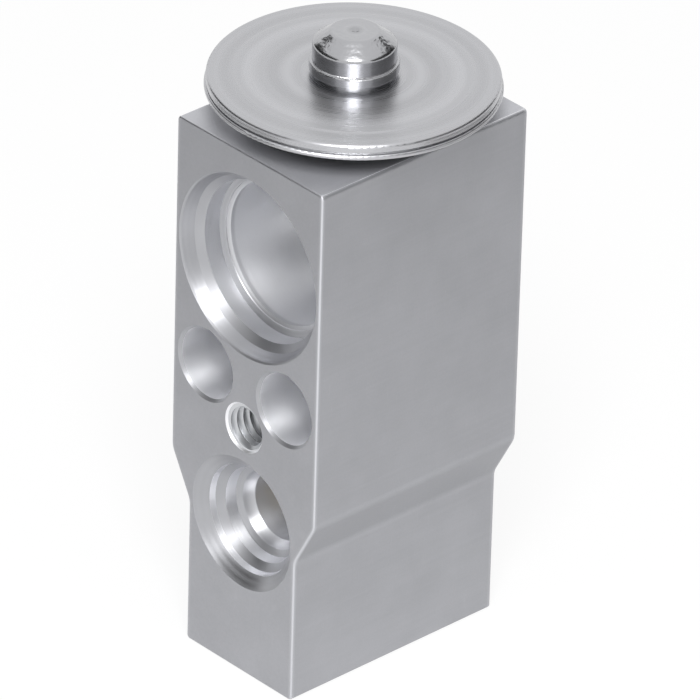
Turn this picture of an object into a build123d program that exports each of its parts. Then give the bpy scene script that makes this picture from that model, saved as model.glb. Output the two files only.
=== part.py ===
from build123d import *
import math
import os

# Block type expansion valve. The line face with its ports looks along -Y, the adjusting screw is at
# the bottom, the power head on top, and the valve's own axis is the Z axis. Lengths in millimetres.

# Extruded aluminium block
block_height = 70.0
block_width = 25.0
block_depth = 32.2
foot_width = 18.5
waist_top = 25.2
waist_bottom = 19.2
waist_bend_radius = 3.0
corner_radius = 0.5
edge_rounding = 0.25

# Heights of the ports and holes above the block's foot
inlet_level = 20.3
outlet_level = 28.6
stud_level = 33.4
mounting_level = 39.0
suction_level = 55.0

# Stepped ports, each step as depth below its face and radius
suction_bore_radius = 9.0
suction_seat_radius = 10.15
suction_seat_start = 2.45
suction_seat_end = 4.75
suction_mouth = [(0, 11.9), (0.2, 11.7), (1.6, 11.0)]
suction_lip = [(5.1, 9.45), (5.25, 9.4)]
suction_throat_depth = 5.5
inlet_bore_radius = 4.3
inlet_bore_end = 5.0
inlet_mouth = [(0, 8.6), (1.25, 7.1), (2.05, 6.9), (2.9, 6.05), (4.3, 5.8), (4.75, 5.05)]
inlet_throat_depth = 6.0
outlet_bore_radius = 3.2
outlet_bore_end = 1.9
outlet_seat_radius = 5.2
outlet_seat_start = 2.4
outlet_seat_end = 4.3
outlet_mouth = [(0, 7.0), (1.0, 5.95), (1.65, 5.9)]
outlet_lip = [(4.7, 4.3)]
outlet_throat_depth = 5.8
drill_point_angle = 118.0

# Holes through and into the line face
mounting_spacing = 13.7
mounting_radius = 4.5
mounting_chamfer = 0.35
stud_radius = 3.0
stud_lead_in = 0.25
stud_thread_depth = 10.0
stud_drill_radius = 2.5
stud_drill_depth = 11.0

# Orifice, valve chamber and ball
orifice_radius = 1.8
orifice_length = 1.5
seat_cone_depth = 1.0
chamber_radius = 5.5
ball_radius = 2.75
seat_gap = 0.08

# Stroke of the valve train and travel of the adjusting screw
valve_stroke = 0.8
screw_travel_in = 0.75
screw_travel_out = 0.5

# Working rod, its guide and its seal
rod_radius = 1.2
rod_clearance = 0.05
rod_chamfer = 0.2
seal_section_radius = 0.8
seal_clearance = 0.03
gland_floor = 43.4
retainer_radius = 3.35
retainer_thickness = 0.35
retainer_dish = 0.25
retainer_teeth = 6
tooth_gap_width = 0.5
tooth_gap_reach = 2.3

# Sensing shaft
shaft_radius = 3.1
shaft_clearance = 0.3
shaft_end_chamfer = 0.4
shaft_end_gap = 0.5
rod_socket_depth = 4.0
press_clearance = 0.01

# Ball support
cup_mouth_radius = 2.4
cup_radius = 3.2
cup_height = 2.5
support_flange_radius = 4.6
support_flange_thickness = 1.0
pilot_radius = 2.5
pilot_length = 3.0
pilot_chamfer = 0.4

# Vibration damping spring under the ball support's flange
damper_thickness = 0.3
damper_leg_count = 3
damper_leg_arc = 38.0
damper_leg_height = 3.0
damper_leg_start = 71.0
damper_clearance = 0.05
damper_ring_clearance = 0.05

# Superheat spring
spring_wire_radius = 0.5
spring_mean_radius = 3.6
spring_active_turns = 3
spring_coil_gap = 0.04
spring_ground = 0.25

# Adjusting screw
screw_recess = 0.8
screw_thread_radius = 6.0
screw_thread_clearance = 0.05
screw_thread_length = 4.4
screw_chamfer = 0.5
screw_land_clearance = 0.05
screw_run_out = 0.15
screw_groove_radius = 4.2
screw_groove_width = 1.7
screw_groove_lip = 0.5
screw_pocket_radius = 4.25
screw_pocket_depth = 1.4
screw_hex_size = 5.0
screw_hex_depth = 4.2

# Power head
rim_radius = 17.4
rim_height_over_block = 3.35
rim_edge_rounding = 0.25
rim_seam_depth = 0.25
cover_thickness = 0.65
cover_edge_rounding = 0.15
diaphragm_thickness = 0.15
cap_inset = 0.2
cap_height = 1.15
cap_shoulder = 0.4
cap_wall = 0.6
cap_seat_width = 1.3
cap_inner_slope = 0.5
border_width = 3.0
border_slope = 0.4
border_drop = 0.08
neck_radius = 9.0
neck_bore_radius = 7.4
neck_clearance = 0.05
neck_end_gap = 0.4
neck_chamfer = 0.5
head_recess_depth = 4.8
web_opening_radius = 6.0
head_seal_section_radius = 0.85
head_seal_pocket_depth = 0.8
head_seal_gap = 0.1
dish_floor_thickness = 0.7
dish_flange_width = 2.05
dish_slope_width = 2.9
dish_bend = 0.8

# Diaphragm corrugation and thrust pad
corrugation_width = 3.0
corrugation_edge = 0.4
corrugation_height = 0.15
corrugation_bend = 0.5
pad_edge_clearance = 1.3
pad_thickness = 1.4
pad_hub_radius = 5.0
pad_hub_length = 3.2
pad_socket_depth = 3.6
pad_chamfer = 0.4

# Charge plug welded into the upper cover
plug_stem_radius = 2.5
plug_hole_clearance = 0.05
plug_neck_radius = 4.6
plug_flange_bottom = 0.65
plug_flange_top = 1.85
plug_flange_radius = 5.3
plug_edge_rounding = 0.15
plug_body_radius = 4.95
plug_shoulder_height = 4.1
plug_crown_radius = 2.9
plug_crown_rounding = 0.6
plug_height = 5.6
plug_dimple_radius = 0.55
plug_dimple_depth = 0.3

front_y = -block_depth / 2
back_y = block_depth / 2

# Levels along the valve's axis, from the orifice down to the adjusting screw
seat_level = outlet_level - outlet_bore_radius - orifice_length
chamber_top = seat_level - seat_cone_depth
seat_mouth_radius = orifice_radius + seat_cone_depth
ball_level = seat_level + orifice_radius - math.sqrt(2) * (ball_radius + seat_gap)
ball_top = ball_level + ball_radius
cup_apex = ball_level - math.sqrt(2) * (ball_radius + press_clearance)
support_top = cup_apex + cup_mouth_radius
flange_top = support_top - cup_height
flange_bottom = flange_top - support_flange_thickness
spring_top = flange_bottom - damper_thickness
screw_thread_top = screw_recess + screw_thread_length
screw_thread_end = screw_thread_top + screw_travel_in + screw_run_out
groove_bottom = screw_thread_end + screw_travel_out + screw_run_out
groove_top = groove_bottom + screw_groove_width
spring_bottom = groove_top + screw_groove_lip
screw_top = spring_bottom + screw_pocket_depth
thread_hole_radius = screw_thread_radius
screw_major_radius = screw_thread_radius - screw_thread_clearance
screw_land_radius = chamber_radius - screw_land_clearance

# Levels from the rod's gland up to the diaphragm
seal_mean_radius = rod_radius + seal_clearance + seal_section_radius
gland_radius = seal_mean_radius + seal_section_radius + seal_clearance
retainer_seat = gland_floor + 2 * seal_section_radius + seal_clearance
retainer_top = retainer_seat + retainer_thickness + retainer_dish
shaft_bore_radius = shaft_radius + shaft_clearance
shaft_bottom = retainer_top + valve_stroke + shaft_end_gap
recess_floor = block_height - head_recess_depth
neck_bottom = recess_floor + neck_end_gap
seal_pocket_floor = block_height - head_seal_pocket_depth
dish_underside = seal_pocket_floor + 2 * head_seal_section_radius
dish_floor = dish_underside + dish_floor_thickness
rim_underside = block_height + rim_height_over_block
diaphragm_bottom = rim_underside + cover_thickness
diaphragm_top = diaphragm_bottom + diaphragm_thickness
border_top = diaphragm_top + cap_height - border_drop
plateau_top = diaphragm_top + cap_height
plateau_underside = plateau_top - cap_wall
cap_radius = rim_radius - cap_inset
border_radius = rim_radius - border_width
dish_rim_radius = rim_radius - dish_flange_width
dish_floor_radius = dish_rim_radius - dish_slope_width
corrugation_outer_radius = dish_rim_radius - corrugation_edge
corrugation_inner_radius = corrugation_outer_radius - corrugation_width
pad_radius = dish_floor_radius - pad_edge_clearance
recess_radius = neck_radius + neck_clearance
head_seal_mean_radius = recess_radius + head_seal_gap + head_seal_section_radius
seal_pocket_radius = head_seal_mean_radius + head_seal_section_radius + seal_clearance
pad_underside = diaphragm_bottom - pad_thickness
hub_bottom = pad_underside - pad_hub_length
shaft_top = hub_bottom + pad_socket_depth
rod_top = shaft_bottom + rod_socket_depth - press_clearance


def port_plane(face_y, level):
    """Plane through a port's axis: x runs from the face into the block, y is the radius."""
    inward = -math.copysign(1, face_y)
    return Plane(origin=(0, face_y, level), x_dir=(0, inward, 0), z_dir=(inward, 0, 0))


def port_section(face_y, level, steps, end_depth):
    """Half section of a stepped port, closed along the port's axis at its full depth."""
    with BuildSketch(port_plane(face_y, level)) as section:
        with BuildLine():
            Polyline((0, 0), *steps, (end_depth, 0), close=True)
        make_face()
    return section.sketch


def drill_tip(radius):
    """Length of the cone that a drill of this radius leaves at the end of a blind hole."""
    return radius / math.tan(math.radians(drill_point_angle / 2))


def suction_section(face_y):
    """Suction port from one face, funnelling down to the through passage."""
    seat = [(suction_seat_start, suction_seat_radius), (suction_seat_end, suction_seat_radius)]
    bore = [(suction_throat_depth, suction_bore_radius), (block_depth / 2, suction_bore_radius)]
    steps = [*suction_mouth, *seat, *suction_lip, *bore]
    return port_section(face_y, suction_level, steps, block_depth / 2)


def inlet_section():
    """Liquid inlet: sealing bore, cone and the narrow bore that meets the valve chamber."""
    end = block_depth / 2 - inlet_bore_end
    steps = [*inlet_mouth, (inlet_throat_depth, inlet_bore_radius), (end, inlet_bore_radius)]
    return port_section(front_y, inlet_level, steps, end + drill_tip(inlet_bore_radius))


def outlet_section():
    """Outlet to the evaporator, drilled from the back face just past the orifice."""
    end = block_depth / 2 + outlet_bore_end
    seat = [(outlet_seat_start, outlet_seat_radius), (outlet_seat_end, outlet_seat_radius)]
    bore = [(outlet_throat_depth, outlet_bore_radius), (end, outlet_bore_radius)]
    steps = [*outlet_mouth, *seat, *outlet_lip, *bore]
    return port_section(back_y, outlet_level, steps, end + drill_tip(outlet_bore_radius))


def stud_section():
    """Blind tapped hole for the stud that holds the line plate."""
    steps = [(0, stud_radius + stud_lead_in), (stud_lead_in, stud_radius)]
    steps += [(stud_thread_depth, stud_radius), (stud_thread_depth, stud_drill_radius)]
    steps.append((stud_drill_depth, stud_drill_radius))
    return port_section(front_y, stud_level, steps, stud_drill_depth + drill_tip(stud_drill_radius))


with BuildPart() as valve_body:
    with BuildSketch(Plane.XZ) as outline:
        with BuildLine():
            half_width = block_width / 2
            half_foot = foot_width / 2
            right_side = [
                (half_foot, 0),
                (half_foot, waist_bottom),
                (half_width, waist_top),
                (half_width, block_height),
            ]
            left_side = [(-x, z) for x, z in reversed(right_side)]
            bends = [corner_radius, waist_bend_radius, waist_bend_radius, corner_radius]
            FilletPolyline(*right_side, *left_side, radius=bends * 2, close=True)
        make_face()
    extrude(amount=block_depth / 2, both=True)
    fillet(valve_body.faces().filter_by(Axis.Y).edges(), radius=edge_rounding)

    # Bore along the valve's axis, from the power head's recess to the adjusting screw
    with BuildSketch(Plane.XZ) as axial_bore:
        with BuildLine():
            Polyline(
                (0, block_height),
                (seal_pocket_radius, block_height),
                (seal_pocket_radius, seal_pocket_floor),
                (recess_radius, seal_pocket_floor),
                (recess_radius, recess_floor),
                (web_opening_radius, recess_floor),
                (web_opening_radius, suction_level),
                (shaft_bore_radius, suction_level),
                (shaft_bore_radius, retainer_seat),
                (gland_radius, retainer_seat),
                (gland_radius, gland_floor),
                (rod_radius + rod_clearance, gland_floor),
                (rod_radius + rod_clearance, outlet_level),
                (orifice_radius, outlet_level),
                (orifice_radius, seat_level),
                (seat_mouth_radius, chamber_top),
                (chamber_radius, chamber_top),
                (chamber_radius, screw_thread_end),
                (thread_hole_radius, screw_thread_end),
                (thread_hole_radius, screw_chamfer),
                (thread_hole_radius + screw_chamfer, 0),
                (0, 0),
                close=True,
            )
        make_face()
    revolve(axis=Axis.Z, mode=Mode.SUBTRACT)

    suction_axis = Axis((0, 0, suction_level), (0, 1, 0))
    revolve(suction_section(front_y), axis=suction_axis, mode=Mode.SUBTRACT)
    revolve(suction_section(back_y), axis=suction_axis, mode=Mode.SUBTRACT)
    revolve(inlet_section(), axis=Axis((0, 0, inlet_level), (0, 1, 0)), mode=Mode.SUBTRACT)
    revolve(outlet_section(), axis=Axis((0, 0, outlet_level), (0, 1, 0)), mode=Mode.SUBTRACT)
    revolve(stud_section(), axis=Axis((0, 0, stud_level), (0, 1, 0)), mode=Mode.SUBTRACT)

    # Two plain holes for the bolts that clamp the valve between its pipe plates
    with Locations(Plane(origin=(0, front_y, mounting_level), x_dir=(1, 0, 0), z_dir=(0, -1, 0))):
        with GridLocations(mounting_spacing, 0, 2, 1):
            Hole(radius=mounting_radius)
    mounting_rims = (
        valve_body.edges()
        .filter_by(GeomType.CIRCLE)
        .filter_by(lambda edge: abs(edge.radius - mounting_radius) < 1e-3)
        .filter_by(lambda edge: abs(edge.arc_center.Z - mounting_level) < 1e-3)
    )
    chamfer(mounting_rims, length=mounting_chamfer)

with BuildPart() as head_lower_cover:
    with BuildSketch(Plane.XZ) as section:
        with BuildLine():
            FilletPolyline(
                (neck_bore_radius, neck_bottom),
                (neck_radius - neck_chamfer, neck_bottom),
                (neck_radius, neck_bottom + neck_chamfer),
                (neck_radius, dish_underside),
                (dish_floor_radius, dish_underside),
                (dish_rim_radius, rim_underside),
                (rim_radius, rim_underside),
                (rim_radius, diaphragm_bottom),
                (dish_rim_radius, diaphragm_bottom),
                (dish_floor_radius, dish_floor),
                (neck_bore_radius, dish_floor),
                radius=[0] * 4 + [dish_bend] * 2 + [rim_edge_rounding] * 2 + [dish_bend] * 2 + [0],
                close=True,
            )
        make_face()
    revolve(axis=Axis.Z)

with BuildPart() as head_upper_cover:
    with BuildSketch(Plane.XZ) as section:
        with BuildLine():
            FilletPolyline(
                (plug_stem_radius + plug_hole_clearance, plateau_underside),
                (rim_radius - cap_seat_width - cap_inner_slope, plateau_underside),
                (rim_radius - cap_seat_width, diaphragm_top),
                (cap_radius, diaphragm_top),
                (cap_radius, border_top),
                (border_radius, border_top),
                (border_radius - border_slope, plateau_top),
                (plug_stem_radius + plug_hole_clearance, plateau_top),
                radius=[0, 0, 0, cover_edge_rounding, cap_shoulder, 0, 0, 0],
                close=True,
            )
        make_face()
    revolve(axis=Axis.Z)

with BuildPart() as charge_plug:
    with BuildSketch(Plane.XZ) as section:
        with BuildLine():
            edge = plug_edge_rounding
            crown = plug_crown_rounding
            FilletPolyline(
                (0, plateau_underside),
                (plug_stem_radius, plateau_underside),
                (plug_stem_radius, plateau_top),
                (plug_neck_radius, plateau_top),
                (plug_neck_radius, plateau_top + plug_flange_bottom),
                (plug_flange_radius, plateau_top + plug_flange_bottom),
                (plug_flange_radius, plateau_top + plug_flange_top),
                (plug_body_radius, plateau_top + plug_flange_top),
                (plug_body_radius, plateau_top + plug_shoulder_height),
                (plug_crown_radius, plateau_top + plug_height),
                (plug_dimple_radius, plateau_top + plug_height),
                (0, plateau_top + plug_height - plug_dimple_depth),
                radius=[0] * 5 + [edge] * 3 + [crown] * 2 + [0, 0],
                close=True,
            )
        make_face()
    revolve(axis=Axis.Z)

# Thin disc with one ring corrugation, clamped between the two covers at the rim
with BuildPart() as diaphragm:
    with BuildSketch(Plane.XZ) as section:
        with BuildLine():
            wave_middle = (corrugation_inner_radius + corrugation_outer_radius) / 2
            lower_line = [
                (0, diaphragm_bottom),
                (corrugation_inner_radius, diaphragm_bottom),
                (wave_middle, diaphragm_bottom + corrugation_height),
                (corrugation_outer_radius, diaphragm_bottom),
                (cap_radius - rim_seam_depth, diaphragm_bottom),
            ]
            upper_line = [(r, z + diaphragm_thickness) for r, z in reversed(lower_line)]
            bends = [0, corrugation_bend, corrugation_bend, corrugation_bend, 0]
            FilletPolyline(*lower_line, *upper_line, radius=bends * 2, close=True)
        make_face()
    revolve(axis=Axis.Z)

with BuildPart() as thrust_pad:
    with BuildSketch(Plane.XZ) as section:
        with BuildLine():
            socket_radius = shaft_radius + press_clearance
            Polyline(
                (0, shaft_top),
                (socket_radius, shaft_top),
                (socket_radius, hub_bottom),
                (pad_hub_radius, hub_bottom),
                (pad_hub_radius, pad_underside),
                (pad_radius, pad_underside),
                (pad_radius, diaphragm_bottom - pad_chamfer),
                (pad_radius - pad_chamfer, diaphragm_bottom),
                (0, diaphragm_bottom),
                close=True,
            )
        make_face()
    revolve(axis=Axis.Z)

with BuildPart() as head_o_ring:
    with Locations((0, 0, seal_pocket_floor + head_seal_section_radius)):
        Torus(major_radius=head_seal_mean_radius, minor_radius=head_seal_section_radius)

with BuildPart() as sensing_shaft:
    with BuildSketch(Plane.XY.offset(shaft_bottom)):
        Circle(shaft_radius)
    extrude(amount=shaft_top - shaft_bottom)
    shaft_ends = sensing_shaft.edges().filter_by(GeomType.CIRCLE)
    chamfer(shaft_ends, length=shaft_end_chamfer)
    with BuildSketch(Plane.XY.offset(shaft_bottom)):
        Circle(rod_radius + press_clearance)
    extrude(amount=rod_socket_depth, mode=Mode.SUBTRACT)

with BuildPart() as working_rod:
    with BuildSketch(Plane.XY.offset(ball_top + press_clearance)):
        Circle(rod_radius)
    extrude(amount=rod_top - ball_top - press_clearance)
    chamfer(working_rod.edges().filter_by(GeomType.CIRCLE), length=rod_chamfer)

with BuildPart() as rod_o_ring:
    with Locations((0, 0, gland_floor + seal_section_radius)):
        Torus(major_radius=seal_mean_radius, minor_radius=seal_section_radius)

# Push nut that keeps the rod's seal in its gland, dished up towards the rod
with BuildPart() as rod_seal_retainer:
    with BuildSketch(Plane.XZ) as section:
        with BuildLine():
            bore = rod_radius + rod_clearance
            Polyline(
                (bore, retainer_seat + retainer_dish),
                (tooth_gap_reach, retainer_seat),
                (retainer_radius, retainer_seat),
                (retainer_radius, retainer_seat + retainer_thickness),
                (tooth_gap_reach, retainer_seat + retainer_thickness),
                (bore, retainer_top),
                close=True,
            )
        make_face()
    revolve(axis=Axis.Z)
    with BuildSketch(Plane.XY.offset(retainer_seat)) as tooth_gaps:
        with PolarLocations(0, retainer_teeth):
            Rectangle(tooth_gap_reach, tooth_gap_width, align=(Align.MIN, Align.CENTER))
    extrude(amount=retainer_top - retainer_seat, mode=Mode.SUBTRACT)

with BuildPart() as valve_ball:
    with Locations((0, 0, ball_level)):
        Sphere(ball_radius)

with BuildPart() as ball_support:
    with BuildSketch(Plane.XZ) as section:
        with BuildLine():
            Polyline(
                (0, flange_bottom - pilot_length),
                (pilot_radius - pilot_chamfer, flange_bottom - pilot_length),
                (pilot_radius, flange_bottom - pilot_length + pilot_chamfer),
                (pilot_radius, flange_bottom),
                (support_flange_radius, flange_bottom),
                (support_flange_radius, flange_top),
                (cup_radius, flange_top),
                (cup_radius, support_top),
                (cup_mouth_radius, support_top),
                (0, cup_apex),
                close=True,
            )
        make_face()
    revolve(axis=Axis.Z)

# Flat ring under the flange, with bent-up legs that rub on the chamber's wall
with BuildPart() as damping_spring:
    with BuildSketch(Plane.XY.offset(spring_top)) as ring:
        Circle(support_flange_radius)
        Circle(pilot_radius + damper_ring_clearance, mode=Mode.SUBTRACT)
    extrude(amount=damper_thickness)
    with BuildSketch(Plane.XZ) as leg_section:
        with BuildLine():
            wall = chamber_radius - damper_clearance
            Polyline(
                (support_flange_radius - damper_thickness, spring_top),
                (wall, spring_top),
                (wall, spring_top + damper_leg_height),
                (wall - damper_thickness, spring_top + damper_leg_height),
                (wall - damper_thickness, spring_top + damper_thickness),
                (support_flange_radius - damper_thickness, spring_top + damper_thickness),
                close=True,
            )
        make_face()
    leg = revolve(axis=Axis.Z, revolution_arc=damper_leg_arc, mode=Mode.PRIVATE)
    with PolarLocations(0, damper_leg_count, start_angle=damper_leg_start):
        add(leg)

# Coil spring with a closed turn at each end, ground flat
with BuildPart() as superheat_spring:
    closed_pitch = 2 * spring_wire_radius + spring_coil_gap
    coil_start = spring_bottom + spring_ground
    coil_end = spring_top - spring_ground
    active_rise = coil_end - coil_start - 2 * closed_pitch
    with BuildLine() as coil:
        Helix(closed_pitch, closed_pitch, spring_mean_radius, center=(0, 0, coil_start))
        Helix(
            active_rise / spring_active_turns,
            active_rise,
            spring_mean_radius,
            center=(0, 0, coil_start + closed_pitch),
        )
        Helix(
            closed_pitch,
            closed_pitch,
            spring_mean_radius,
            center=(0, 0, coil_end - closed_pitch),
        )
    with BuildSketch(Plane(origin=coil.line @ 0, z_dir=coil.line % 0)):
        Circle(spring_wire_radius)
    sweep(path=coil.line, is_frenet=True)
    split(bisect_by=Plane.XY.offset(spring_bottom), keep=Keep.TOP)
    split(bisect_by=Plane.XY.offset(spring_top), keep=Keep.BOTTOM)

with BuildPart() as adjusting_screw:
    with BuildSketch(Plane.XZ) as section:
        with BuildLine():
            Polyline(
                (0, screw_recess),
                (screw_major_radius - screw_chamfer, screw_recess),
                (screw_major_radius, screw_recess + screw_chamfer),
                (screw_major_radius, screw_thread_top),
                (screw_land_radius, screw_thread_top),
                (screw_land_radius, groove_bottom),
                (screw_groove_radius, groove_bottom),
                (screw_groove_radius, groove_top),
                (screw_land_radius, groove_top),
                (screw_land_radius, screw_top),
                (screw_pocket_radius, screw_top),
                (screw_pocket_radius, spring_bottom),
                (0, spring_bottom),
                close=True,
            )
        make_face()
    revolve(axis=Axis.Z)
    with BuildSketch(Plane.XY.offset(screw_recess)):
        RegularPolygon(radius=screw_hex_size / 2, side_count=6, major_radius=False)
    extrude(amount=screw_hex_depth, mode=Mode.SUBTRACT)

with BuildPart() as adjusting_screw_o_ring:
    screw_seal_depth = chamber_radius - screw_groove_radius
    screw_seal_mean_radius = screw_groove_radius + screw_seal_depth / 2
    with Locations((0, 0, (groove_bottom + groove_top) / 2)):
        Torus(
            major_radius=screw_seal_mean_radius,
            minor_radius=screw_seal_depth / 2 - seal_clearance,
        )

pieces = {
    "valve_body": valve_body,
    "head_lower_cover": head_lower_cover,
    "head_upper_cover": head_upper_cover,
    "charge_plug": charge_plug,
    "diaphragm": diaphragm,
    "thrust_pad": thrust_pad,
    "head_o_ring": head_o_ring,
    "sensing_shaft": sensing_shaft,
    "working_rod": working_rod,
    "rod_o_ring": rod_o_ring,
    "rod_seal_retainer": rod_seal_retainer,
    "valve_ball": valve_ball,
    "ball_support": ball_support,
    "damping_spring": damping_spring,
    "superheat_spring": superheat_spring,
    "adjusting_screw": adjusting_screw,
    "adjusting_screw_o_ring": adjusting_screw_o_ring,
}
os.makedirs("parts", exist_ok=True)
for label, piece in pieces.items():
    piece.part.label = label
    export_step(piece.part, f"parts/{label}.step")
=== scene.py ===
import math

import bpy
from bpy.props import FloatProperty, FloatVectorProperty, IntProperty, PointerProperty
from mathutils import Matrix, Vector


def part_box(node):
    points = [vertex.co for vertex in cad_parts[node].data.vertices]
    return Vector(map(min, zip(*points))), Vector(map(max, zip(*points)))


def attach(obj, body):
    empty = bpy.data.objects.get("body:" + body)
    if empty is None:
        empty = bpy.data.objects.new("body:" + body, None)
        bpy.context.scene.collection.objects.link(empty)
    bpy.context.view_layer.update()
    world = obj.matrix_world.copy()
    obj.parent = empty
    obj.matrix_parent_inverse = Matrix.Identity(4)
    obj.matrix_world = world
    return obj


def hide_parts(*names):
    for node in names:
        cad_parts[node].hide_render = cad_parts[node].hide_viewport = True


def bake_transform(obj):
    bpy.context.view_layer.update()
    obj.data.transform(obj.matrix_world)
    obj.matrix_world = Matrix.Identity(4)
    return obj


bl_info = {
    "name": "Expansion valve looks",
    "version": (1, 0, 0),
    "blender": (4, 5, 0),
    "location": "3D View > Sidebar > Valve",
    "description": "Metal finishes, thread, coil halves and studio stage for an expansion valve",
    "category": "Object",
}

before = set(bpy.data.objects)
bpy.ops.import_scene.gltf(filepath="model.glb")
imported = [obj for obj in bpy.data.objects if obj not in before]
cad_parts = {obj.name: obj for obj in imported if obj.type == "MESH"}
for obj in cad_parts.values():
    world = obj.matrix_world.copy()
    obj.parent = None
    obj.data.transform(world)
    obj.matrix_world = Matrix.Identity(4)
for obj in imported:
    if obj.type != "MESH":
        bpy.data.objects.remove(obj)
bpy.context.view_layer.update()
block_low, block_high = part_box("valve_body")
front_y = block_low[1]
back_y = block_high[1]

# Heights of the block's ports and holes above its foot, in metres
SUCTION_LEVEL = 0.055
BOLT_LEVEL = 0.039
BOLT_OFFSET = 0.00685
STUD_LEVEL = 0.0334
OUTLET_LEVEL = 0.0286
INLET_LEVEL = 0.0203

# Half widths of the block above and below its waist, and the heights where the waist slopes
BODY_HALF = block_high[0]
FOOT_HALF = 0.00925
WAIST_LOW = 0.0192
WAIST_HIGH = 0.0252

# How far inside the block's outline a surface counts as cut by a tool, at its sides and other faces
SIDE_MARGIN = 0.0003
FACE_MARGIN = 0.00002

# Distances from both outer faces at which an upright edge's colour, partly rubbed metal and partly a
# painted highlight, starts and is full
EDGE_WEAR_HIGHLIGHT_START = 0.0006
EDGE_WEAR_HIGHLIGHT_FULL = 0.0002

# Radii that take in each port or hole with its mouth, and the levels that part them from others
SUCTION_REACH = 0.0123
BOLT_REACH = 0.00495
STUD_REACH = 0.0033
SUCTION_FROM = 0.0465
STUD_FROM = 0.03
SCREW_BORE_TOP = 0.0105

# Depths behind the block's front and back where a port's mouth ends and its bore begins
MOUTH_END = 0.005
BORE_START = 0.0062

# How far the thread's root lies in the wall, a ridge's width at its root as a share of the pitch,
# and its width at its crest as a share of that
ROOT_OVERLAP = 0.00003
ROOT_SHARE = 0.94
CREST_SHARE = 0.16

# Points of a mesh nearer than this are one
MERGE_DISTANCE = 1e-7

# Turn of a metal's stretched highlight, as a share of a whole turn
QUARTER_TURN = 0.25

# Noise mostly lies between these
NOISE_LOW = 0.3
NOISE_HIGH = 0.7

# The finish meant for each CAD node
FINISHES = {
    "valve_body": "block_aluminium",
    "head_lower_cover": "head_steel",
    "head_upper_cover": "head_steel",
    "charge_plug": "plug_steel",
    "diaphragm": "diaphragm_steel",
    "thrust_pad": "pad_aluminium",
    "sensing_shaft": "pad_aluminium",
    "working_rod": "rod_steel",
    "valve_ball": "rod_steel",
    "ball_support": "support_brass",
    "damping_spring": "spring_steel",
    "superheat_spring": "spring_steel",
    "rod_seal_retainer": "spring_steel",
    "adjusting_screw": "screw_brass",
    "head_o_ring": "seal_rubber",
    "rod_o_ring": "seal_rubber",
    "adjusting_screw_o_ring": "seal_rubber",
}


def colour(name, what, value):
    return FloatVectorProperty(
        name=name, description=what, subtype="COLOR", size=3, min=0, max=1, default=value
    )


def length(name, what, value):
    return FloatProperty(
        name=name, description=what, subtype="DISTANCE", unit="LENGTH", min=0, default=value
    )


class ValveFinishes(bpy.types.PropertyGroup):
    block: colour("Block", "Satin aluminium of the extruded block", (0.472, 0.476, 0.5))
    block_cut: colour(
        "Cut block", "Aluminium of the ports' mouths, the pad and the shaft", (0.45, 0.454, 0.475)
    )
    # Painted light: the same aluminium, painted bright inside the bores
    block_bore_painted_light: colour("Bored block", "Bright aluminium inside the bores", (0.95, 0.955, 0.98))
    # Edge colour: partly rubbed metal, partly a painted highlight
    block_edge_wear_highlight: colour("Block edge", "Aluminium rubbed by handling at the edges", (0.60, 0.605, 0.63))
    head: colour("Head", "Spun steel of the power head", (0.5, 0.503, 0.522))
    plug: colour("Plug", "Turned steel of the charge plug", (0.45, 0.453, 0.47))
    brass: colour("Brass", "Brass of the ball support and adjusting screw", (0.72, 0.52, 0.24))
    steel: colour("Ground steel", "Rod, ball and diaphragm", (0.58, 0.58, 0.59))
    spring: colour("Spring steel", "Coil, damping spring and push nut", (0.3, 0.3, 0.31))
    rubber: colour("Rubber", "O-rings", (0.02, 0.022, 0.02))
    block_grain: length("Block grain", "Size of the grain of the satin faces", 0.00025)
    feed_pitch: length("Feed pitch", "Between the marks in the ports and on turned pieces", 0.00022)
    spin_pitch: length("Spin pitch", "Between the marks on the spun head", 0.0003)
    scratch_size: length("Scratch size", "Size of the hairlines from handling", 0.003)


class ValveThreads(bpy.types.PropertyGroup):
    stud_pitch: length("Stud pitch", "Pitch of the tapped hole between the ports", 0.001)
    stud_major: length("Stud radius", "Radius of the tapped hole", 0.003)
    stud_minor: length("Stud minor radius", "Radius across the crests of the thread", 0.00251)
    stud_depth: length("Stud depth", "Depth of the thread", 0.0095)
    stud_start: length("Stud lead-in", "Depth of the lead-in chamfer", 0.00026)
    steps: IntProperty(
        name="Steps", description="Steps in each turn of the thread", min=8, default=40
    )


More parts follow.
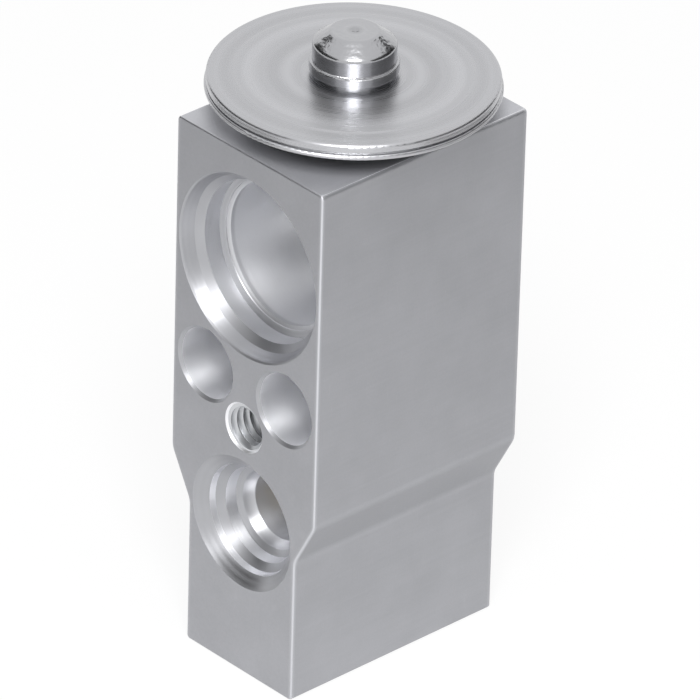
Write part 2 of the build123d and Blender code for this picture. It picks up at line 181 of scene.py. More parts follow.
class ValveStage(bpy.types.PropertyGroup):
    azimuth: FloatProperty(
        name="Azimuth",
        description="Direction of the camera round the valve",
        subtype="ANGLE",
        default=math.radians(46.852),
    )
    elevation: FloatProperty(
        name="Elevation",
        description="Height of the camera over the horizon",
        subtype="ANGLE",
        default=math.radians(30.743),
    )
    roll: FloatProperty(
        name="Roll",
        description="Turn of the camera about its own line of sight",
        subtype="ANGLE",
        default=math.radians(1.608),
    )
    distance: length("Distance", "From the camera to the point that it is aimed at", 1.22716)
    lens: FloatProperty(
        name="Lens", description="Focal length in millimetres", unit="CAMERA", default=535.9
    )
    aim_level: length("Aim level", "Height of the point on the axis that the aim starts from", 0.035)
    aim_right: length("Aim right", "From there to the aim, to the right in the picture", 0.0005)
    aim_up: length("Aim up", "From there to the aim, upwards in the picture", 0.002457)
    floor_size: length("Floor", "Side of the pale floor", 8.0)
    floor_glow: FloatProperty(
        name="Floor glow",
        description="Share of plain white in what the camera and the metal see of the floor",
        min=0,
        max=1,
        default=0.85,
    )
    card_width: length("Card width", "Across each of the dark cards that the metal mirrors", 0.2)
    card_reach: length("Card reach", "Along each dark card, away from the valve", 0.045)
    card_gap: length("Card gap", "From the valve's axis to each dark card", 0.117)
    card_lift: length("Card lift", "From the floor to each card that lies over it", 0.0005)
    wall_width: length("Wall width", "Across each dark card that stands at a side", 0.8)
    wall_height: length("Wall height", "Height of each standing card", 0.33)
    wall_rise: length("Wall rise", "From the floor to the lower edge of each standing card", 0.1)
    wall_gap: length("Wall gap", "From the valve's axis to each standing card", 0.4)
    bright_width: length("Bright width", "Across the bright card in front", 0.08)
    bright_reach: length("Bright reach", "Along the bright card, away from the valve", 0.12)
    bright_gap: length("Bright gap", "From the valve's axis to the bright card", 0.08)
    bright_glow: FloatProperty(
        name="Bright glow", description="Brightness of the card in front", min=0, default=1.2
    )
    ambient: FloatProperty(
        name="Ambient", description="Light from all round", min=0, default=0.55
    )
    key: FloatProperty(
        name="Key light", description="Soft light over the camera's line", unit="POWER", default=8.0
    )
    key_level: length("Key level", "Height of the point that the key light is aimed at", 0.04)
    key_distance: length("Key distance", "From that point towards the camera", 0.9)
    key_rise: length("Key rise", "From the camera's line up to the key light", 0.32)
    key_size: length("Key size", "Side of the key light", 0.35)


def add_node(tree, kind, *inputs, **values):
    """One node with its settings and its first inputs, each a number, a colour or another socket."""
    node = tree.nodes.new("ShaderNode" + kind)
    for name, value in values.items():
        setattr(node, name, value)
    for socket, value in zip(node.inputs, inputs):
        if value is None:
            continue
        if isinstance(value, bpy.types.NodeSocket):
            tree.links.new(value, socket)
        else:
            socket.default_value = value
    return node


def math_node(tree, operation, *inputs):
    return add_node(tree, "Math", *inputs, operation=operation).outputs[0]


def mix_colours(tree, factor, first, second):
    node = tree.nodes.new("ShaderNodeMix")
    node.data_type = "RGBA"
    for name, value in (("Factor_Float", factor), ("A_Color", first), ("B_Color", second)):
        socket = next(s for s in node.inputs if s.identifier == name)
        if isinstance(value, bpy.types.NodeSocket):
            tree.links.new(value, socket)
        elif name == "Factor_Float":
            socket.default_value = value
        else:
            socket.default_value = (*value, 1)
    return next(s for s in node.outputs if s.identifier == "Result_Color")


def ramp(tree, value, start, end, low=0, high=1):
    """A number that goes from low to high as the value goes from start to end, and no further."""
    return add_node(tree, "MapRange", value, start, end, low, high).outputs[0]


def between(tree, factor, low, high):
    """A number that goes from low to high as factor goes from 0 to 1."""
    return ramp(tree, factor, 0, 1, low, high)


def noise(tree, place, scale, detail, roughness=0.5):
    """Soft noise around 0.5 in three dimensions."""
    return add_node(tree, "TexNoise", place, None, scale, detail, roughness).outputs[0]


def noise_along(tree, number, scale, detail):
    """Soft noise around 0.5 along one number."""
    node = add_node(tree, "TexNoise", noise_dimensions="1D")
    tree.links.new(number, node.inputs["W"])
    node.inputs["Scale"].default_value = scale
    node.inputs["Detail"].default_value = detail
    return node.outputs[0]


def tinted(base, share):
    """The base colour, each part of it times the share."""
    return tuple(min(1, part * share) for part in base)


def new_group(name, inputs, outputs):
    group = bpy.data.node_groups.new(name, "ShaderNodeTree")
    for label, kind, value in inputs:
        socket = group.interface.new_socket(label, in_out="INPUT", socket_type=kind)
        if value is not None:
            socket.default_value = value
    for label in outputs:
        group.interface.new_socket(label, in_out="OUTPUT", socket_type="NodeSocketFloat")
    return group, group.nodes.new("NodeGroupInput"), group.nodes.new("NodeGroupOutput")


def use_group(tree, name, **values):
    node = tree.nodes.new("ShaderNodeGroup")
    node.node_tree = bpy.data.node_groups[name]
    for label, value in values.items():
        socket = node.inputs[label.replace("_", " ").capitalize()]
        if isinstance(value, bpy.types.NodeSocket):
            tree.links.new(value, socket)
        else:
            socket.default_value = value
    return node.outputs


def make_grain_group():
    """Fine grain for height, and broad soft clouds for tone."""
    group, given, out = new_group(
        "Metal grain",
        (("Vector", "NodeSocketVector", None), ("Size", "NodeSocketFloat", 0.00025)),
        ("Height", "Tone"),
    )
    place = given.outputs["Vector"]
    scale = math_node(group, "DIVIDE", 1, given.outputs["Size"])
    fine = noise(group, place, scale, detail=3, roughness=0.6)
    cloud_share = 0.03
    cloud_scale = math_node(group, "MULTIPLY", scale, cloud_share)
    clouds = noise(group, place, cloud_scale, detail=4, roughness=0.55)
    group.links.new(fine, out.inputs["Height"])
    group.links.new(clouds, out.inputs["Tone"])


def make_turning_group():
    """Rings that a turning tool leaves round the vector's Z axis, on faces and on walls."""
    group, given, out = new_group(
        "Turning marks",
        (("Vector", "NodeSocketVector", None), ("Pitch", "NodeSocketFloat", 0.0002)),
        ("Height", "Tone"),
    )
    x, y, z = add_node(group, "SeparateXYZ", given.outputs["Vector"]).outputs
    square = math_node(group, "MULTIPLY_ADD", y, y, math_node(group, "MULTIPLY", x, x))
    radius = math_node(group, "SQRT", square)
    wall_share = 0.83
    path = math_node(group, "MULTIPLY_ADD", z, wall_share, radius)
    turns = math_node(group, "DIVIDE", path, given.outputs["Pitch"])
    wave = math_node(group, "SINE", math_node(group, "MULTIPLY", turns, 2 * math.pi))
    uneven = noise_along(group, turns, scale=0.9, detail=4)
    bands = noise_along(group, turns, scale=0.11, detail=2)
    wave_height = 0.2
    height = math_node(group, "MULTIPLY_ADD", wave, wave_height, uneven)
    group.links.new(height, out.inputs["Height"])
    group.links.new(bands, out.inputs["Tone"])


def make_scratch_group():
    """Short hairlines from handling, as a mask."""
    group, given, out = new_group(
        "Handling marks",
        (("Vector", "NodeSocketVector", None), ("Size", "NodeSocketFloat", 0.002)),
        ("Mask",),
    )
    scale = math_node(group, "DIVIDE", 1, given.outputs["Size"])
    line_start, line_full = 0.68, 0.74
    second_turn, third_turn = 0.7, 1.3
    lines = None
    for turn, stretch in ((0.6, 14), (-0.9, 18), (2.1, 11)):
        turned = add_node(group, "Mapping", given.outputs["Vector"])
        turned.inputs["Rotation"].default_value = (turn, turn * second_turn, turn * third_turn)
        turned.inputs["Scale"].default_value = (1, stretch, 1)
        stretched = noise(group, turned.outputs[0], scale, detail=2)
        line = ramp(group, stretched, line_start, line_full)
        lines = line if lines is None else math_node(group, "MAXIMUM", lines, line)
    group.links.new(lines, out.inputs["Mask"])


def new_material(name):
    """An empty material with its shader, and the socket of the object's own coordinates."""
    material = bpy.data.materials.new(name)
    material.use_nodes = True
    tree = material.node_tree
    shader = tree.nodes["Principled BSDF"]
    place = tree.nodes.new("ShaderNodeTexCoord").outputs["Object"]
    return material, tree, shader, place


def set_bump(tree, shader, height, strength, distance):
    bump = tree.nodes.new("ShaderNodeBump")
    bump.inputs["Strength"].default_value = strength
    bump.inputs["Distance"].default_value = distance
    tree.links.new(height, bump.inputs["Height"])
    tree.links.new(bump.outputs[0], shader.inputs["Normal"])


def inside_circle(tree, across, up, centre, radius):
    """1 within this distance of an axis that runs along Y, 0 outside."""
    across = math_node(tree, "SUBTRACT", across, centre[0])
    up = math_node(tree, "SUBTRACT", up, centre[1])
    square = math_node(tree, "MULTIPLY_ADD", across, across, math_node(tree, "MULTIPLY", up, up))
    return math_node(tree, "LESS_THAN", square, radius * radius)


def block_places(tree, place):
    """Masks and directions on the block: what a tool has cut, the painted light that grows with depth in
    it and on its walls, the upright edges that are partly worn and partly a painted highlight, the
    flanks painted with shade, coordinates about the nearest bore's own axis, and the direction of the
    grooves."""
    x, y, z = add_node(tree, "SeparateXYZ", place).outputs
    from_middle = math_node(tree, "ABSOLUTE", x)
    half = ramp(tree, z, WAIST_LOW, WAIST_HIGH, FOOT_HALF, BODY_HALF)
    inset = math_node(tree, "SUBTRACT", half, from_middle)
    depth = math_node(tree, "SUBTRACT", back_y, math_node(tree, "ABSOLUTE", y))
    below_top = math_node(tree, "SUBTRACT", block_high[2], z)

    # Cut surfaces lie inside the block's outline
    cut = math_node(tree, "GREATER_THAN", inset, SIDE_MARGIN)
    for gap in (depth, z, below_top):
        cut = math_node(tree, "MULTIPLY", cut, math_node(tree, "GREATER_THAN", gap, FACE_MARGIN))

    normal = tree.nodes.new("ShaderNodeNewGeometry").outputs["Normal"]
    _, lengthwise, upward = add_node(tree, "SeparateXYZ", normal).outputs

    # Painted shade: the flanks of the waist lean downwards, and the more they face down the darker their
    # colour is painted
    lean_start, lean_full, flank_shade_share = -0.15, -0.45, 0.6
    flank_painted_shade = ramp(tree, upward, lean_start, lean_full, 0, flank_shade_share)

    # The upright edges are close to two outer faces at once. Their brighter colour is partly rubbed
    # metal and partly a painted highlight
    near = [ramp(tree, gap, EDGE_WEAR_HIGHLIGHT_START, EDGE_WEAR_HIGHLIGHT_FULL) for gap in (inset, depth)]
    edge_wear_and_highlight = math_node(tree, "MULTIPLY", *near)

    # The large port reaches down between the bolt holes
    upper = inside_circle(tree, x, z, (0, SUCTION_LEVEL), SUCTION_REACH)
    upper = math_node(tree, "MAXIMUM", upper, math_node(tree, "GREATER_THAN", z, SUCTION_FROM))
    bolts = inside_circle(tree, from_middle, z, (BOLT_OFFSET, BOLT_LEVEL), BOLT_REACH)

    # Painted light: the walls of the ports are painted brighter than their chamfers. The bores behind
    # them, the walls of the bolt holes and the tapped hole are painted brightest, as if lit deep inside
    wall_facing, chamfer_facing = 0.25, 0.45
    port_wall, bore = 0.7, 0.95
    facing = math_node(tree, "ABSOLUTE", lengthwise)
    wall = ramp(tree, facing, wall_facing, chamfer_facing, 1, 0)
    plain = math_node(tree, "MULTIPLY", bolts, math_node(tree, "SUBTRACT", 1, upper))
    wall = math_node(tree, "MULTIPLY", wall, between(tree, plain, port_wall, 1))
    bore_painted_light = math_node(tree, "MAXIMUM", wall, ramp(tree, depth, MOUTH_END, BORE_START, 0, bore))
    back = math_node(tree, "GREATER_THAN", y, 0)
    tapped = inside_circle(tree, x, z, (0, STUD_LEVEL), STUD_REACH)
    tapped = math_node(tree, "MULTIPLY", tapped, math_node(tree, "SUBTRACT", 1, back))
    bore_painted_light = math_node(tree, "MAXIMUM", bore_painted_light, tapped)

    # The axis of the port or hole that a point belongs to
    stud = math_node(tree, "GREATER_THAN", z, STUD_FROM)
    level = between(tree, back, between(tree, stud, INLET_LEVEL, STUD_LEVEL), OUTLET_LEVEL)
    level = between(tree, bolts, level, BOLT_LEVEL)
    level = between(tree, upper, level, SUCTION_LEVEL)
    offset = math_node(tree, "MULTIPLY", math_node(tree, "SIGN", x), BOLT_OFFSET)
    offset = math_node(tree, "MULTIPLY", offset, bolts)
    offset = between(tree, upper, offset, 0)
    across = math_node(tree, "SUBTRACT", x, offset)
    rise = math_node(tree, "SUBTRACT", z, level)

    # The bore for the adjusting screw is turned about the valve's own axis
    screw_bore = math_node(tree, "LESS_THAN", z, SCREW_BORE_TOP)
    second = between(tree, screw_bore, rise, y)
    local = add_node(
        tree, "CombineXYZ", across, second, between(tree, screw_bore, y, z)
    ).outputs[0]

    # Grooves run round that axis where a tool has cut, and level across the outer faces
    grooves = add_node(
        tree,
        "CombineXYZ",
        between(tree, cut, 1, math_node(tree, "MULTIPLY", second, -1)),
        between(tree, cut, 1, between(tree, screw_bore, 0, across)),
        between(tree, cut, 0, between(tree, screw_bore, across, 0)),
    ).outputs[0]
    return cut, bore_painted_light, edge_wear_and_highlight, flank_painted_shade, local, grooves


def block_material(looks):
    """Satin extruded aluminium, ringed where tools have cut the ports, with painted light on the ports'
    walls and bores, painted shade on the downward flanks and a painted highlight on the worn upright
    edges.
    """
    material, tree, shader, place = new_material("block_aluminium")
    cut, bore_painted_light, edge_wear_and_highlight, flank_painted_shade, local, grooves = block_places(tree, place)
    grain = use_group(tree, "Metal grain", vector=place, size=looks.block_grain)
    lines = add_node(tree, "Mapping", place)
    lengthwise_share = 0.03
    lines.inputs["Scale"].default_value = (1, lengthwise_share, 1)
    drawn = use_group(tree, "Metal grain", vector=lines.outputs[0], size=looks.block_grain * 2)
    rings = use_group(tree, "Turning marks", vector=local, pitch=looks.feed_pitch)
    scratches = use_group(tree, "Handling marks", vector=place, size=looks.scratch_size)["Mask"]

    drawn_share, tone_low, tone_high = 0.35, 0.45, 0.95
    tone = math_node(tree, "MULTIPLY_ADD", drawn["Height"], drawn_share, grain["Tone"])
    shade = ramp(tree, tone, tone_low, tone_high)
    darker, lighter, flank_shade_colour = (tinted(looks.block, share) for share in (0.95, 1.05, 0.76))
    face = mix_colours(tree, shade, darker, lighter)
    # Painted shade on the downward-facing flanks of the waist
    face = mix_colours(tree, flank_painted_shade, face, flank_shade_colour)
    # Upright edges painted brighter, partly as rubbed metal and partly as a painted highlight
    face = mix_colours(tree, edge_wear_and_highlight, face, looks.block_edge_wear_highlight)
    # Painted light: cut walls and bores go from the cut colour to a painted bright one
    cut_with_painted_light = mix_colours(tree, bore_painted_light, looks.block_cut, looks.block_bore_painted_light)
    tree.links.new(mix_colours(tree, cut, face, cut_with_painted_light), shader.inputs["Base Color"])

    satin_low, satin_high = 0.50, 0.58
    cut_low, cut_high = 0.36, 0.46
    worn, scratch_gloss = 0.7, -0.05
    bore_roughening, bore_from, bore_full = 1.18, 0.75, 0.95
    rough_face = ramp(tree, grain["Height"], NOISE_LOW, NOISE_HIGH, satin_low, satin_high)
    rough_face = math_node(tree, "MULTIPLY_ADD", scratches, scratch_gloss, rough_face)
    rough_face = between(tree, edge_wear_and_highlight, rough_face, worn)
    rough_cut = ramp(tree, rings["Height"], NOISE_LOW, NOISE_HIGH, cut_low, cut_high)
    rougher = ramp(tree, bore_painted_light, bore_from, bore_full, 1, bore_roughening)
    rough_cut = math_node(tree, "MULTIPLY", rough_cut, rougher)
    tree.links.new(between(tree, cut, rough_face, rough_cut), shader.inputs["Roughness"])

    shader.inputs["Metallic"].default_value = 1
    shader.inputs["Anisotropic"].default_value = 0.5
    shader.inputs["Anisotropic Rotation"].default_value = QUARTER_TURN
    tree.links.new(grooves, shader.inputs["Tangent"])

    drawn_height, scratch_depth = 0.5, -0.4
    flat = math_node(tree, "MULTIPLY_ADD", drawn["Height"], drawn_height, grain["Height"])
    flat = math_node(tree, "MULTIPLY_ADD", scratches, scratch_depth, flat)
    height = between(tree, cut, flat, rings["Height"])
    set_bump(tree, shader, height, strength=0.35, distance=0.00002)
    return material


def turned_material(name, base, roughness, pitch, bump, anisotropy, tone_range=0.1, dented=None):
    """Metal turned or spun about the valve's own axis. Above the level dented, if there is one, it
    shows the dents of a punch."""
    material, tree, shader, place = new_material(name)
    marks = use_group(tree, "Turning marks", vector=place, pitch=pitch)
    grain = use_group(tree, "Metal grain", vector=place, size=0.0002)
    shade = ramp(tree, marks["Tone"], NOISE_LOW, NOISE_HIGH)
    low, high = tinted(base, 1 - tone_range), tinted(base, 1 + tone_range)
    tree.links.new(mix_colours(tree, shade, low, high), shader.inputs["Base Color"])
    shader.inputs["Metallic"].default_value = 1
    mark_low, mark_high, spread = 0.2, 0.8, 0.15
    smoothest, roughest = roughness * (1 - spread), roughness * (1 + spread)
    rough = ramp(tree, marks["Height"], mark_low, mark_high, smoothest, roughest)
    tree.links.new(rough, shader.inputs["Roughness"])
    shader.inputs["Anisotropic"].default_value = anisotropy
    shader.inputs["Anisotropic Rotation"].default_value = QUARTER_TURN
    around = add_node(tree, "Tangent", direction_type="RADIAL", axis="Z")
    tree.links.new(around.outputs[0], shader.inputs["Tangent"])
    grain_height = 0.3
    height = math_node(tree, "MULTIPLY_ADD", grain["Height"], grain_height, marks["Height"])
    if dented is not None:
        level = add_node(tree, "SeparateXYZ", place).outputs[2]
        fade, dent_depth, dents_per_metre = 0.0003, 35, 1500
        above = ramp(tree, level, dented, dented + fade, 0, dent_depth)
        dents = noise(tree, place, dents_per_metre, detail=1.5)
        height = math_node(tree, "MULTIPLY_ADD", dents, above, height)
    set_bump(tree, shader, height, strength=bump, distance=0.00001)
    return material


def spring_material(looks):
    """Drawn and tempered wire with a dark, slightly uneven skin."""
    material, tree, shader, place = new_material("spring_steel")
    grain = use_group(tree, "Metal grain", vector=place, size=0.0001)
    low, high = tinted(looks.spring, 0.75), tinted(looks.spring, 1.2)
    tree.links.new(mix_colours(tree, grain["Tone"], low, high), shader.inputs["Base Color"])
    shader.inputs["Metallic"].default_value = 1
    smooth, rough = 0.28, 0.42
    tree.links.new(between(tree, grain["Height"], smooth, rough), shader.inputs["Roughness"])
    set_bump(tree, shader, grain["Height"], strength=0.3, distance=0.00001)
    return material


def rubber_material(looks):
    """Matt moulded rubber with a fine bloom."""
    material, tree, shader, place = new_material("seal_rubber")
    grain = use_group(tree, "Metal grain", vector=place, size=0.00015)
    bloom = tinted(looks.rubber, 2.2)
    tree.links.new(mix_colours(tree, grain["Tone"], looks.rubber, bloom), shader.inputs["Base Color"])
    smooth, rough = 0.55, 0.75
    tree.links.new(between(tree, grain["Height"], smooth, rough), shader.inputs["Roughness"])
    set_bump(tree, shader, grain["Height"], strength=0.4, distance=0.00002)
    return material


def dress(names, material):
    """Gives the CAD nodes of these names one finish."""
    for name in names:
        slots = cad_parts[name].data.materials
        slots.clear()
        slots.append(material)


def nodes_with(slot):
    """The names of the CAD nodes that are meant to have this finish."""
    return [name for name, finish in FINISHES.items() if finish == slot]


def only(thing):
    """Leaves just this object selected and active, in object mode."""
    if bpy.context.mode != "OBJECT":
        bpy.ops.object.mode_set(mode="OBJECT")
    bpy.ops.object.select_all(action="DESELECT")
    thing.select_set(True)
    bpy.context.view_layer.objects.active = thing


def select_vertices(thing, wanted):
    """Selects the vertices whose place passes the test, and goes back to edit mode."""
    bpy.ops.object.mode_set(mode="EDIT")
    bpy.ops.mesh.select_mode(type="VERT")
    bpy.ops.mesh.select_all(action="DESELECT")
    bpy.ops.object.mode_set(mode="OBJECT")
    for vertex in thing.data.vertices:
        vertex.select = wanted(vertex.co)
    bpy.ops.object.mode_set(mode="EDIT")


def close_and_trim(piece, *planes):
    """Closes an open piece, cuts it off flush at the planes and turns its faces outwards."""
    bpy.ops.object.mode_set(mode="EDIT")
    bpy.ops.mesh.select_all(action="SELECT")
    bpy.ops.mesh.remove_doubles(threshold=MERGE_DISTANCE)
    bpy.ops.mesh.select_all(action="DESELECT")
    bpy.ops.mesh.select_non_manifold()
    bpy.ops.mesh.fill_holes(sides=0)
    for point, outward in planes:
        bpy.ops.mesh.select_all(action="SELECT")
        bpy.ops.mesh.bisect(
            plane_co=point,
            plane_no=outward,
            use_fill=True,
            clear_outer=True,
            threshold=MERGE_DISTANCE,
        )
    bpy.ops.mesh.select_all(action="SELECT")
    bpy.ops.mesh.normals_make_consistent(inside=False)
    bpy.ops.object.mode_set(mode="OBJECT")
    only(piece)
    bpy.ops.object.shade_smooth_by_angle(angle=math.radians(30))


class VALVE_OT_block(bpy.types.Operator):
    """Gives the block its satin faces and machined ports"""

    bl_idname = "valve.block"
    bl_label = "Block finish"

    def execute(self, context):
        dress(nodes_with("block_aluminium"), block_material(context.scene.valve_finishes))
        return {"FINISHED"}


class VALVE_OT_head(bpy.types.Operator):
    """Gives the power head its spun steel, its turned plug and its diaphragm's sheet"""

    bl_idname = "valve.head"
    bl_label = "Head finish"

    def execute(self, context):
        looks = context.scene.valve_finishes
        head = turned_material(
            "head_steel",
            looks.head,
            roughness=0.3,
            pitch=looks.spin_pitch,
            bump=0.12,
            anisotropy=0.5,
            tone_range=0.08,
        )
        crown_depth = 0.0014
        plug = turned_material(
            "plug_steel",
            looks.plug,
            roughness=0.2,
            pitch=looks.feed_pitch,
            bump=0.2,
            anisotropy=0.4,
            tone_range=0.08,
            dented=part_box("charge_plug")[1][2] - crown_depth,
        )
        disc = turned_material(
            "diaphragm_steel",
            looks.steel,
            roughness=0.3,
            pitch=looks.spin_pitch,
            bump=0.1,
            anisotropy=0.3,
        )
        dress(nodes_with("head_steel"), head)
        dress(nodes_with("plug_steel"), plug)
        dress(nodes_with("diaphragm_steel"), disc)
        return {"FINISHED"}


class VALVE_OT_train(bpy.types.Operator):
    """Makes the finishes of the moving parts, springs, adjusting screw and seals"""

    bl_idname = "valve.train"
    bl_label = "Inner parts finish"

    def execute(self, context):
        looks = context.scene.valve_finishes
        pitch = looks.feed_pitch
        made = (
            turned_material(
                "pad_aluminium",
                looks.block_cut,
                roughness=0.35,
                pitch=pitch,
                bump=0.3,
                anisotropy=0.5,
            ),
            turned_material(
                "rod_steel",
                looks.steel,
                roughness=0.16,
                pitch=pitch * 0.5,
                bump=0.1,
                anisotropy=0.3,
                tone_range=0.03,
            ),
            turned_material(
                "support_brass",
                looks.brass,
                roughness=0.28,
                pitch=pitch,
                bump=0.25,
                anisotropy=0.4,
            ),
            turned_material(
                "screw_brass",
                looks.brass,
                roughness=0.32,
                pitch=pitch,
                bump=0.3,
                anisotropy=0.4,
            ),
            spring_material(looks),
            rubber_material(looks),
        )

        # The imported model brings materials of these names too, so the new ones get a number added to
        # theirs.
        # No node is found by such a name, and these pieces show the imported model's own plain finishes
        for material in made:
            dress(nodes_with(material.name), material)
        return {"FINISHED"}


class VALVE_OT_coil(bpy.types.Operator):
    """Divides the coil spring at its middle into two closed halves, and hides the whole spring"""

    bl_idname = "valve.coil"
    bl_label = "Coil spring halves"

    def execute(self, context):
        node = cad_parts["superheat_spring"]
        low, high = (corner[2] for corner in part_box("superheat_spring"))
        middle = (low + high) / 2
        for name, upwards, bodies, ends in (
            ("coil_lower", 1, ("screw_seal", "housing"), (low, middle)),
            ("coil_upper", -1, ("housing", "valve_train"), (middle, high)),
        ):
            half = bpy.data.objects.new(name, node.data.copy())
            context.scene.collection.objects.link(half)
            only(half)
            close_and_trim(half, ((0, 0, middle), (0, 0, upwards)))
            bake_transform(half)
            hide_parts("superheat_spring")
        return {"FINISHED"}


class VALVE_OT_stud_thread(bpy.types.Operator):
    """Winds the thread ridges of the tapped hole between the ports"""

    bl_idname = "valve.stud_thread"
    bl_label = "Stud thread"

    def execute(self, context):
        sizes = context.scene.valve_threads
        pitch = sizes.stud_pitch
        root = sizes.stud_major + ROOT_OVERLAP
        depth = root - sizes.stud_minor
        turns = int(sizes.stud_depth / pitch) + 1
        start = Vector((0, front_y + sizes.stud_start - pitch, STUD_LEVEL))
        bpy.ops.object.select_all(action="DESELECT")
        bpy.ops.mesh.primitive_plane_add(size=1, location=start)
        ridge = context.active_object
        ridge.name = "stud_thread"
        only(ridge)
        bpy.ops.object.mode_set(mode="EDIT")
        bpy.ops.mesh.select_all(action="SELECT")
        bpy.ops.transform.resize(value=(depth, pitch * ROOT_SHARE, 1))
        bpy.ops.transform.translate(value=(root - depth / 2, pitch / 2, 0))
        bpy.ops.mesh.delete(type="ONLY_FACE")
        select_vertices(ridge, lambda co: co.x < root - depth / 2)
        middle = start + Vector((0, pitch / 2, 0))
        bpy.ops.transform.resize(value=(1, CREST_SHARE, 1), center_override=middle)
        bpy.ops.object.mode_set(mode="OBJECT")
        helix = ridge.modifiers.new("helix", "SCREW")
        helix.axis = "Y"
        helix.screw_offset = pitch
        helix.iterations = turns
        helix.steps = helix.render_steps = sizes.steps
        helix.use_smooth_shade = True
        bpy.ops.object.modifier_apply(modifier="helix")
        only(ridge)
        bpy.ops.object.transform_apply(location=True, rotation=True, scale=True)
        close_and_trim(
            ridge,
            ((0, front_y + sizes.stud_start, 0), (0, -1, 0)),
            ((0, front_y + sizes.stud_start + sizes.stud_depth, 0), (0, 1, 0)),
        )

        # This is the imported model's own plain aluminium, not the finish of the block
        ridge.data.materials.append(bpy.data.materials["block_aluminium"])
        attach(ridge, "housing")
        return {"FINISHED"}


def camera_matrix(stage):
    """Where the camera stands, and the directions up and back from it, from its angles."""
    az, el, roll = stage.azimuth, stage.elevation, stage.roll
    back = Vector((math.sin(az) * math.cos(el), -math.cos(az) * math.cos(el), math.sin(el)))
    right = Vector((0, 0, 1)).cross(back).normalized()
    up = back.cross(right)
    side = math.cos(roll) * right + math.sin(roll) * up
    top = -math.sin(roll) * right + math.cos(roll) * up
    target = Vector((0, 0, stage.aim_level)) + stage.aim_right * side + stage.aim_up * top
    matrix = Matrix((side, top, back)).transposed().to_4x4()
    matrix.translation = target + back * stage.distance
    return matrix, top, back


def add_lamp(name, place, aim, size, power):
    """A soft square light at a place, aimed at a point."""
    bpy.ops.object.light_add(type="AREA", location=place)
    lamp = bpy.context.active_object
    lamp.name = name
    lamp.data.shape = "RECTANGLE"
    lamp.data.size = lamp.data.size_y = size
    lamp.data.energy = power
    lamp.rotation_euler = (Vector(aim) - Vector(place)).to_track_quat("-Z", "Y").to_euler()


def add_card(name, azimuth, size, gap, glow, height, standing=False):
    """A card beside the valve that shows only as a reflection in its metal. It lies at the height,
    or stands with its lower edge there."""
    width, reach = size
    away = gap if standing else gap + reach / 2
    level = height + reach / 2 if standing else height
    place = (away * math.sin(azimuth), -away * math.cos(azimuth), level)
    tilt = math.radians(90) if standing else 0
    bpy.ops.mesh.primitive_plane_add(size=1, location=place, rotation=(tilt, 0, azimuth))
    card = bpy.context.active_object
    card.name = name
    card.scale = (width, reach, 1)
    only(card)
    bpy.ops.object.transform_apply(location=False, rotation=False, scale=True)
    material, tree, shader, _ = new_material(name)
    shader.inputs["Base Color"].default_value = (0.02, 0.02, 0.02, 1)
    shader.inputs["Roughness"].default_value = 0.9
    shader.inputs["Emission Color"].default_value = (1, 1, 1, 1)
    shader.inputs["Emission Strength"].default_value = glow
    card.data.materials.append(material)
    card.visible_camera = card.visible_diffuse = card.visible_shadow = False


def seen_directly(tree):
    """1 for a ray from the camera, from a mirroring surface or through glass, 0 for falling light."""
    path = tree.nodes.new("ShaderNodeLightPath")
    seen = math_node(tree, "MAXIMUM", path.outputs["Is Camera Ray"], path.outputs["Is Glossy Ray"])
    return math_node(tree, "MAXIMUM", seen, path.outputs["Is Transmission Ray"])


class VALVE_OT_stage(bpy.types.Operator):
    """Sets up the pale floor, the soft light, the cards that the metal mirrors and the camera"""

    bl_idname = "valve.stage"
    bl_label = "Studio stage"

    def execute(self, context):
        stage = context.scene.valve_stage
        scene = context.scene
        matrix, top, back = camera_matrix(stage)
        bpy.ops.object.select_all(action="DESELECT")
        bpy.ops.object.camera_add()
        camera = context.active_object
        camera.name = "camera"
        camera.matrix_world = matrix
        camera.data.lens = stage.lens
        camera.data.sensor_width = 36
        camera.data.clip_start = 0.05
        camera.data.clip_end = 50
        scene.camera = camera
        middle = Vector((0, 0, stage.key_level))
        key_place = middle + back * stage.key_distance + top * stage.key_rise
        add_lamp("key_light", key_place, middle, stage.key_size, stage.key)
        lift = stage.card_lift
        dark = (stage.card_width, stage.card_reach)
        wall = (stage.wall_width, stage.wall_height)
        for side_name, turn in (("right", 90), ("left", -90)):
            beside = stage.azimuth + math.radians(turn)
            add_card("dark_card_" + side_name, beside, dark, stage.card_gap, 0, lift)
            add_card(
                "dark_wall_" + side_name, beside, wall, stage.wall_gap, 0, stage.wall_rise, standing=True
            )
        bright = (stage.bright_width, stage.bright_reach)
        add_card("bright_card", stage.azimuth, bright, stage.bright_gap, stage.bright_glow, lift)
        world = bpy.data.worlds.new("studio")
        scene.world = world
        world.use_nodes = True
        tree = world.node_tree
        strength = between(tree, seen_directly(tree), stage.ambient, 1.0)
        tree.links.new(strength, tree.nodes["Background"].inputs["Strength"])
        tree.nodes["Background"].inputs["Color"].default_value = (1, 1, 1, 1)
        bpy.ops.mesh.primitive_plane_add(size=stage.floor_size, location=(0, 0, 0))
        floor = context.active_object
        floor.name = "floor"
        floor.data.materials.append(floor_material(stage))
        scene.view_settings.view_transform = "Standard"
        return {"FINISHED"}


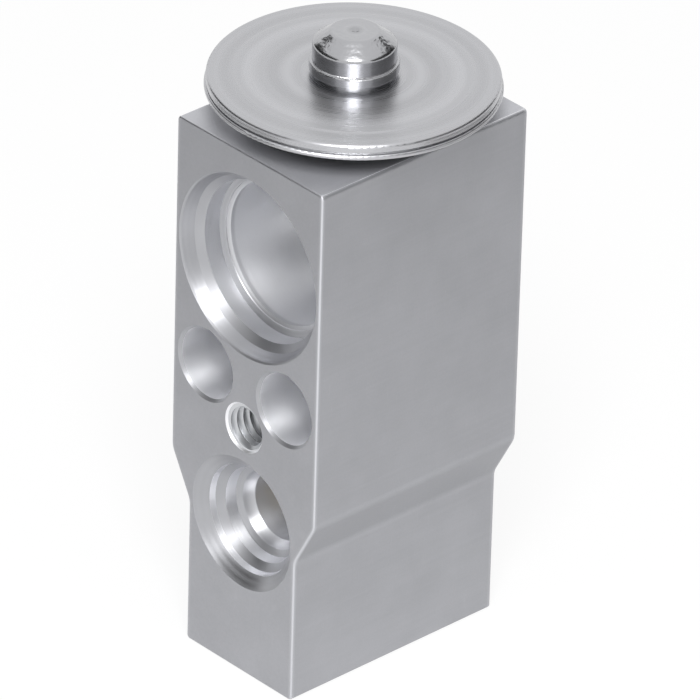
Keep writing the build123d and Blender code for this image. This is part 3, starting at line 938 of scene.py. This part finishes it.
def floor_material(stage):
    """White floor that keeps a little of the valve's shadow."""
    material, tree, shader, _ = new_material("floor_white")
    shader.inputs["Base Color"].default_value = (0.9, 0.9, 0.9, 1)
    shader.inputs["Roughness"].default_value = 0.9
    glow = add_node(tree, "Emission", (1, 1, 1, 1), 1.0)
    share = math_node(tree, "MULTIPLY", seen_directly(tree), stage.floor_glow)
    mix = add_node(tree, "MixShader", share, shader.outputs[0], glow.outputs[0])
    tree.links.new(mix.outputs[0], tree.nodes["Material Output"].inputs["Surface"])
    return material


class VALVE_PT_panel(bpy.types.Panel):
    """Lists the steps that dress the valve"""

    bl_idname = "VALVE_PT_panel"
    bl_label = "Expansion valve"
    bl_space_type = "VIEW_3D"
    bl_region_type = "UI"
    bl_category = "Valve"

    def draw(self, context):
        for group in (
            context.scene.valve_finishes,
            context.scene.valve_threads,
            context.scene.valve_stage,
        ):
            box = self.layout.box()
            for name in group.__annotations__:
                box.prop(group, name)
        for step in STEPS:
            self.layout.operator(step.bl_idname)


GROUPS = (ValveFinishes, ValveThreads, ValveStage)
STEPS = (
    VALVE_OT_block,
    VALVE_OT_head,
    VALVE_OT_train,
    VALVE_OT_coil,
    VALVE_OT_stud_thread,
    VALVE_OT_stage,
)


def register():
    for kind in (*GROUPS, *STEPS, VALVE_PT_panel):
        bpy.utils.register_class(kind)
    bpy.types.Scene.valve_finishes = PointerProperty(type=ValveFinishes)
    bpy.types.Scene.valve_threads = PointerProperty(type=ValveThreads)
    bpy.types.Scene.valve_stage = PointerProperty(type=ValveStage)


def unregister():
    del bpy.types.Scene.valve_stage
    del bpy.types.Scene.valve_threads
    del bpy.types.Scene.valve_finishes
    for kind in reversed((*GROUPS, *STEPS, VALVE_PT_panel)):
        bpy.utils.unregister_class(kind)


def main():
    register()
    make_grain_group()
    make_turning_group()
    make_scratch_group()
    bpy.ops.valve.block()
    bpy.ops.valve.head()
    bpy.ops.valve.train()
    bpy.ops.valve.coil()
    bpy.ops.valve.stud_thread()
    bpy.ops.valve.stage()


if __name__ == "__main__":
    main()
